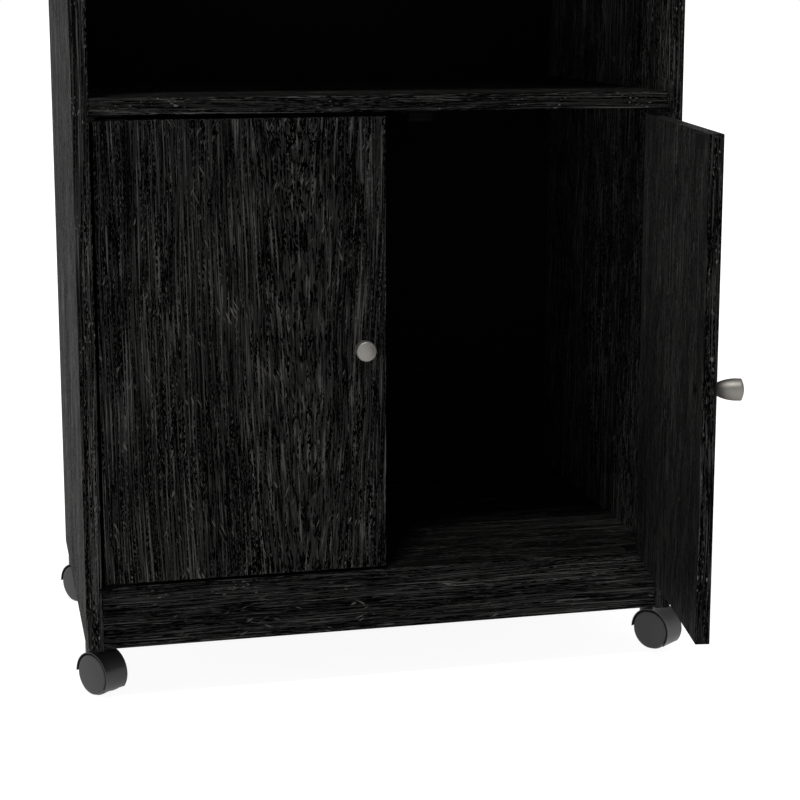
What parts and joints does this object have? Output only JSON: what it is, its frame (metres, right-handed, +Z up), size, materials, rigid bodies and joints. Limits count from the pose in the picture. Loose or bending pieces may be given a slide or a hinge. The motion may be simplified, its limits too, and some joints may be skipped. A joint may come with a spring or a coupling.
{
  "type": "kitchen island cart",
  "caption": "Narrow kitchen island cart: flat top over an open bay, a shelf, two hinged doors with knobs and hooded twin-wheel casters at the corners.",
  "frame": {"origin": "on the floor under the middle of the carcass, between the side panels and between their front and back edges", "axes": "+X to the right as seen from the doors, +Y to the back, +Z up; the doors face -Y"},
  "size_m": [0.6297, 0.6737, 0.902],
  "materials": {
    "black_oak_laminate": "matt black oak-grain laminate on board",
    "hardboard": "thin dark-faced hardboard",
    "satin_nickel": "satin nickel plate",
    "black_steel": "black-coated steel",
    "zinc_fittings": "zinc-plated steel",
    "caster_plastic": "satin black moulded plastic",
    "black_plastic": "black moulded plastic",
    "nylon": "black nylon"
  },
  "bodies": {
    "carcass": {"side_panel_left": "black_oak_laminate", "side_panel_right": "black_oak_laminate", "top_panel": "black_oak_laminate", "shelf": "black_oak_laminate", "bottom_panel": "black_oak_laminate", "kick_plate": "black_oak_laminate", "rear_rail": "black_oak_laminate", "back_panel": "hardboard", "cam_lock_front_left": "zinc_fittings", "cam_lock_front_right": "zinc_fittings", "cam_lock_rear_left": "zinc_fittings", "cam_lock_rear_right": "zinc_fittings", "magnetic_catch_left": "black_plastic", "magnetic_catch_right": "black_plastic", "pivot_plate_carcass_left_top": "black_steel", "pivot_washer_left_top": "nylon", "pivot_plate_carcass_left_bottom": "black_steel", "pivot_washer_left_bottom": "nylon", "pivot_plate_carcass_right_top": "black_steel", "pivot_washer_right_top": "nylon", "pivot_plate_carcass_right_bottom": "black_steel", "pivot_washer_right_bottom": "nylon", "caster_socket_front_left": "zinc_fittings", "caster_socket_front_right": "zinc_fittings", "caster_socket_rear_left": "zinc_fittings", "caster_socket_rear_right": "zinc_fittings"},
    "left_door": {"door_left": "black_oak_laminate", "door_knob_left": "satin_nickel", "knob_screw_left": "black_steel", "strike_plate_left": "black_steel", "pivot_plate_door_left_top": "black_steel", "pivot_plate_door_left_bottom": "black_steel"},
    "right_door": {"door_right": "black_oak_laminate", "door_knob_right": "satin_nickel", "knob_screw_right": "black_steel", "strike_plate_right": "black_steel", "pivot_plate_door_right_top": "black_steel", "pivot_plate_door_right_bottom": "black_steel"},
    "caster_front_left": {"caster_hood_front_left": "caster_plastic", "caster_stem_front_left": "zinc_fittings", "caster_axle_front_left": "zinc_fittings"},
    "wheel_front_left_outer": {"caster_wheel_front_left_outer": "caster_plastic"},
    "wheel_front_left_inner": {"caster_wheel_front_left_inner": "caster_plastic"},
    "caster_front_right": {"caster_hood_front_right": "caster_plastic", "caster_stem_front_right": "zinc_fittings", "caster_axle_front_right": "zinc_fittings"},
    "wheel_front_right_outer": {"caster_wheel_front_right_outer": "caster_plastic"},
    "wheel_front_right_inner": {"caster_wheel_front_right_inner": "caster_plastic"},
    "caster_rear_left": {"caster_hood_rear_left": "caster_plastic", "caster_stem_rear_left": "zinc_fittings", "caster_axle_rear_left": "zinc_fittings"},
    "wheel_rear_left_outer": {"caster_wheel_rear_left_outer": "caster_plastic"},
    "wheel_rear_left_inner": {"caster_wheel_rear_left_inner": "caster_plastic"},
    "caster_rear_right": {"caster_hood_rear_right": "caster_plastic", "caster_stem_rear_right": "zinc_fittings", "caster_axle_rear_right": "zinc_fittings"},
    "wheel_rear_right_outer": {"caster_wheel_rear_right_outer": "caster_plastic"},
    "wheel_rear_right_inner": {"caster_wheel_rear_right_inner": "caster_plastic"}
  },
  "joints": [
    {"name": "left_door_hinge", "type": "hinge", "parent": "carcass", "child": "left_door", "pos_m": [-0.282, -0.2044, 0.34275], "axis": [0, 0, -1], "range_deg": [0, 170]},
    {"name": "right_door_hinge", "type": "hinge", "parent": "carcass", "child": "right_door", "pos_m": [0.282, -0.2044, 0.34275], "axis": [0, 0, 1], "range_deg": [-80.5, 89.5]},
    {"name": "front_left_swivel", "type": "hinge", "parent": "carcass", "child": "caster_front_left", "pos_m": [-0.29055, -0.1475, 0.06], "axis": [0, 0, 1], "continuous": true},
    {"name": "front_right_swivel", "type": "hinge", "parent": "carcass", "child": "caster_front_right", "pos_m": [0.29055, -0.1475, 0.06], "axis": [0, 0, 1], "continuous": true},
    {"name": "rear_left_swivel", "type": "hinge", "parent": "carcass", "child": "caster_rear_left", "pos_m": [-0.29055, 0.1475, 0.06], "axis": [0, 0, 1], "continuous": true},
    {"name": "rear_right_swivel", "type": "hinge", "parent": "carcass", "child": "caster_rear_right", "pos_m": [0.29055, 0.1475, 0.06], "axis": [0, 0, 1], "continuous": true},
    {"name": "front_left_outer_wheel_spin", "type": "hinge", "parent": "caster_front_left", "child": "wheel_front_left_outer", "pos_m": [-0.28305, -0.15775, 0.0212], "axis": [0.807, 0.5906, 0], "continuous": true},
    {"name": "front_left_inner_wheel_spin", "type": "hinge", "parent": "caster_front_left", "child": "wheel_front_left_inner", "pos_m": [-0.28305, -0.15775, 0.0212], "axis": [0.807, 0.5906, 0], "continuous": true},
    {"name": "front_right_outer_wheel_spin", "type": "hinge", "parent": "caster_front_right", "child": "wheel_front_right_outer", "pos_m": [0.29805, -0.15775, 0.0212], "axis": [0.807, 0.5906, 0], "continuous": true},
    {"name": "front_right_inner_wheel_spin", "type": "hinge", "parent": "caster_front_right", "child": "wheel_front_right_inner", "pos_m": [0.29805, -0.15775, 0.0212], "axis": [0.807, 0.5906, 0], "continuous": true},
    {"name": "rear_left_outer_wheel_spin", "type": "hinge", "parent": "caster_rear_left", "child": "wheel_rear_left_outer", "pos_m": [-0.28305, 0.13725, 0.0212], "axis": [0.807, 0.5906, 0], "continuous": true},
    {"name": "rear_left_inner_wheel_spin", "type": "hinge", "parent": "caster_rear_left", "child": "wheel_rear_left_inner", "pos_m": [-0.28305, 0.13725, 0.0212], "axis": [0.807, 0.5906, 0], "continuous": true},
    {"name": "rear_right_outer_wheel_spin", "type": "hinge", "parent": "caster_rear_right", "child": "wheel_rear_right_outer", "pos_m": [0.29805, 0.13725, 0.0212], "axis": [0.807, 0.5906, 0], "continuous": true},
    {"name": "rear_right_inner_wheel_spin", "type": "hinge", "parent": "caster_rear_right", "child": "wheel_rear_right_inner", "pos_m": [0.29805, 0.13725, 0.0212], "axis": [0.807, 0.5906, 0], "continuous": true}
  ]
}
